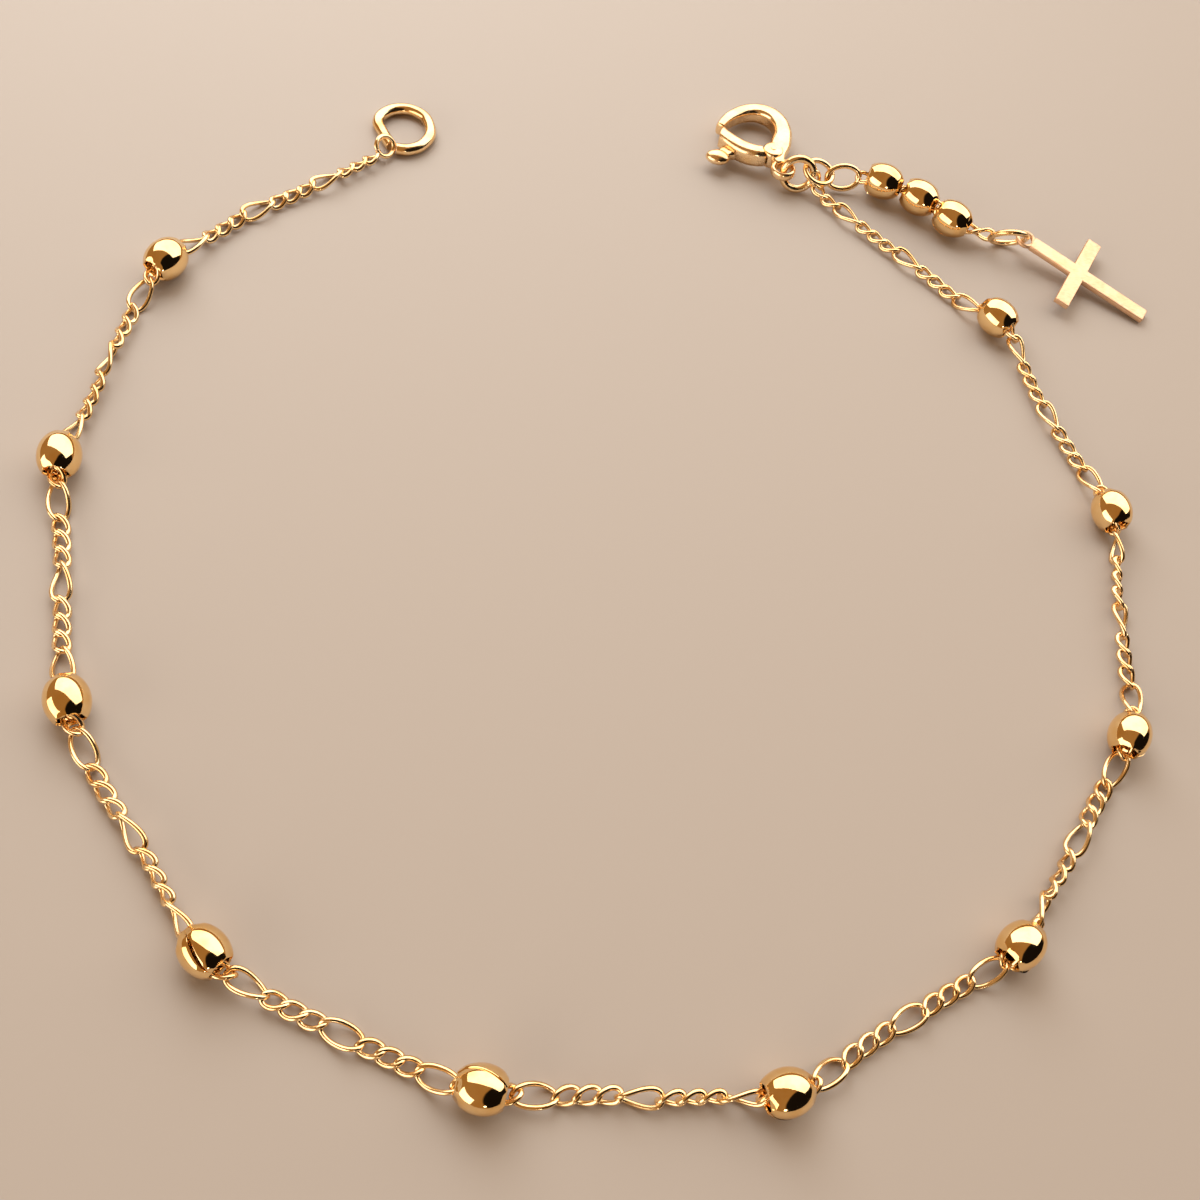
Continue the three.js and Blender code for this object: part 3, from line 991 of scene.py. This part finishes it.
def make_clasp_lever():
    """The gate with its root and hub in the slot, and the thumb piece that opens it."""
    lever = bent_bar("gate_bar", GATE_ROWS, CLASP_EDGE)
    cut(lever, disc("cheek_room", *CLASP_PIVOT, GATE_START, CUTTER_HEIGHT, edge=0))
    swing = disc("swing", *CLASP_PIVOT, GATE_END, CUTTER_HEIGHT, edge=0)
    cut(lever, swing, operation="INTERSECT")
    hub = disc("hub", *CLASP_PIVOT, LEVER_HUB["radius"], LEVER_HUB["height"], TURNED_EDGE)
    gate_start = (GATE_ROWS[1]["x"], GATE_ROWS[1]["y"])
    root = bar_between(
        "root", CLASP_PIVOT, gate_start, LEVER_HUB["root_width"], LEVER_HUB["height"])
    melt_together(hub, root)
    cut(hub, disc("pin_room", *CLASP_PIVOT, CLASP_PIN["room"], CUTTER_HEIGHT, edge=0))
    bpy.ops.object.select_all(action="DESELECT")
    bpy.ops.mesh.primitive_uv_sphere_add(segments=32, ring_count=20, radius=1)
    pad = bpy.context.active_object
    start_edit(pad)
    bpy.ops.mesh.select_all(action="SELECT")
    bpy.ops.transform.resize(value=(THUMB["long"], THUMB["wide"], THUMB["high"]))
    turn_picked(math.radians(THUMB["turn"]), "Z")
    bpy.ops.transform.translate(value=(THUMB["x"], THUMB["y"], THUMB["z"]))
    end_edit()
    neck = bent_bar("neck_bar", NECK_ROWS, CLASP_EDGE)
    take(neck)
    bpy.ops.transform.translate(value=(0, 0, NECK_HEIGHT))
    bpy.ops.object.transform_apply(location=True)
    melt_together(lever, hub, neck, pad)
    smooth(lever, CRISP_UNDER)
    piece = copy_at(lever, "clasp_gate", set_down(CLASP_PLACE, CLASP_TURNS))
    put_away(lever)
    dress(piece, "lever", "polished_gold", CLASP_GOLD, "clasp_lever")


# ------------------------------------------------------------------ cross


def make_cross():
    """A stamped plate, its four arms drawn out from the crossing, with a wire eye soldered to
    its top end."""
    arm, plate = CROSS["arm"], CROSS["plate"]
    crossing = CROSS["bar_from_top"]
    arms = [
        ((1, 0, 0), CROSS["length"] - crossing - arm / 2),
        ((-1, 0, 0), crossing - arm / 2),
        ((0, 1, 0), (CROSS["span"] - arm) / 2),
        ((0, -1, 0), (CROSS["span"] - arm) / 2),
    ]
    bpy.ops.object.select_all(action="DESELECT")
    bpy.ops.mesh.primitive_cube_add(size=1)
    cross = bpy.context.active_object
    start_edit(cross)
    bpy.ops.mesh.select_all(action="SELECT")
    bpy.ops.transform.resize(value=(arm, arm, plate))
    for way, reach in arms:
        out = Vector(way)

        def at_crossing(corner):
            aside = corner.co.cross(out)
            on_face = corner.co.dot(out) > arm / 2 - TOLERANCE
            return on_face and aside.xy.length + abs(aside.z) < arm

        pick_corners(cross, at_crossing)
        bpy.ops.mesh.extrude_region_move(TRANSFORM_OT_translate={"value": out * reach})
    bpy.ops.mesh.select_all(action="SELECT")
    bpy.ops.mesh.normals_make_consistent(inside=False)
    bpy.ops.transform.translate(value=(crossing, 0, 0))
    end_edit()
    round_edges(cross, CROSS_EDGE, segments=4)
    bpy.ops.object.select_all(action="DESELECT")
    bpy.ops.mesh.primitive_torus_add(
        location=(-CROSS_EYE["from_top"], 0, 0), major_radius=CROSS_EYE["radius"],
        minor_radius=CROSS_EYE["wire"] / 2, major_segments=40, minor_segments=14)
    eye = bpy.context.active_object
    bpy.ops.object.transform_apply(location=True)
    melt_together(cross, eye)
    smooth(cross, CRISP_UNDER)
    piece = copy_at(cross, "cross_plate", set_down(CROSS_PLACE, CROSS_TURNS))
    put_away(cross)
    dress(piece, "bracelet", "plate_gold", PLATE_GOLD, "cross")


# ------------------------------------------------------------------ table, light and camera


def make_table():
    """A plain pale table, which isn't part of the bracelet."""
    bpy.ops.object.select_all(action="DESELECT")
    bpy.ops.mesh.primitive_plane_add(size=TABLE_SIZE, location=(0, 0, 0))
    table = bpy.context.active_object
    table.name = "table"
    cover = bpy.data.materials.new("pale_table")
    cover.use_nodes = True
    shader = cover.node_tree.nodes["Principled BSDF"]
    shader.inputs["Base Color"].default_value = TABLE_COLOUR
    shader.inputs["Roughness"].default_value = TABLE_ROUGHNESS
    table.data.materials.append(cover)


def softbox(name, heading, height, distance, size, power, colour):
    """An evenly lit sheet that faces the bracelet."""
    lamp = bpy.data.lights.new(name, "AREA")
    lamp.shape = "RECTANGLE"
    lamp.size, lamp.size_y = size
    lamp.energy = power
    lamp.color = colour
    light = bpy.data.objects.new(name, lamp)
    bpy.context.scene.collection.objects.link(light)
    level = math.cos(math.radians(height))
    place = Vector((
        math.cos(math.radians(heading)) * level,
        math.sin(math.radians(heading)) * level,
        math.sin(math.radians(height)),
    )) * distance
    light.location = place
    light.rotation_euler = (-place).to_track_quat("-Z", "Y").to_euler()
    light.visible_camera = False
    return light


def make_lamps():
    """A large window on the far side, a low side light and a spark, and a soft lamp that lifts
    the far side of the table, which the gold doesn't mirror."""
    lights = {name: softbox(name, **lamp) for name, lamp in LAMPS.items()}
    lights["far_lamp"].visible_glossy = False


def make_room():
    """A warm dim room with one dark side. Past the table it shows as a plain pale wall."""
    world = bpy.context.scene.world or bpy.data.worlds.new("studio")
    bpy.context.scene.world = world
    world.use_nodes = True
    nodes = world.node_tree.nodes
    link = world.node_tree.links.new
    backdrop = nodes["Background"]
    backdrop.inputs["Strength"].default_value = 1.0
    way = nodes.new("ShaderNodeTexCoord")
    facing = nodes.new("ShaderNodeVectorMath")
    facing.operation = "DOT_PRODUCT"
    facing.inputs[1].default_value = DARK_SIDE
    link(way.outputs["Generated"], facing.inputs[0])
    falloff = range_of(nodes, *DARK_SIDE_EDGE)
    falloff.interpolation_type = "SMOOTHSTEP"
    link(facing.outputs["Value"], falloff.inputs["Value"])
    room = blend_of(nodes, ROOM_COLOUR, DARK_SIDE_COLOUR)
    link(falloff.outputs["Result"], room.inputs["Factor"])
    wall = blend_of(nodes, ROOM_COLOUR, WALL_COLOUR)
    seen = nodes.new("ShaderNodeLightPath")
    link(seen.outputs["Is Camera Ray"], wall.inputs["Factor"])
    link(room.outputs["Result"], wall.inputs["A"])
    link(wall.outputs["Result"], backdrop.inputs["Color"])


def make_camera():
    """The camera, above the near side of the loop."""
    eye = bpy.data.cameras.new("camera")
    eye.sensor_width = CAMERA_SENSOR
    eye.lens = CAMERA_LENS
    eye.clip_start = 0.001
    camera = bpy.data.objects.new("camera", eye)
    bpy.context.scene.collection.objects.link(camera)
    camera.location = laid(*CAMERA_PLACE) * MM
    camera.rotation_euler = [math.radians(angle) for angle in CAMERA_TURN]
    bpy.context.scene.camera = camera


# ------------------------------------------------------------------ making

bpy.context.scene.view_settings.view_transform = "Standard"
make_camera()
make_table()
make_lamps()
make_room()

small_link = curb_link("small_link", SMALL_LINK, bends=6)
long_link = curb_link("long_link", LONG_LINK, bends=8)
link_patterns = {"small": small_link, "long": long_link}
make_chain(link_patterns)
make_drop_chain(link_patterns)
put_away(small_link, long_link)
make_balls()
make_wire_loops()
make_end_ring()
make_clasp_body()
make_clasp_lever()
make_cross()
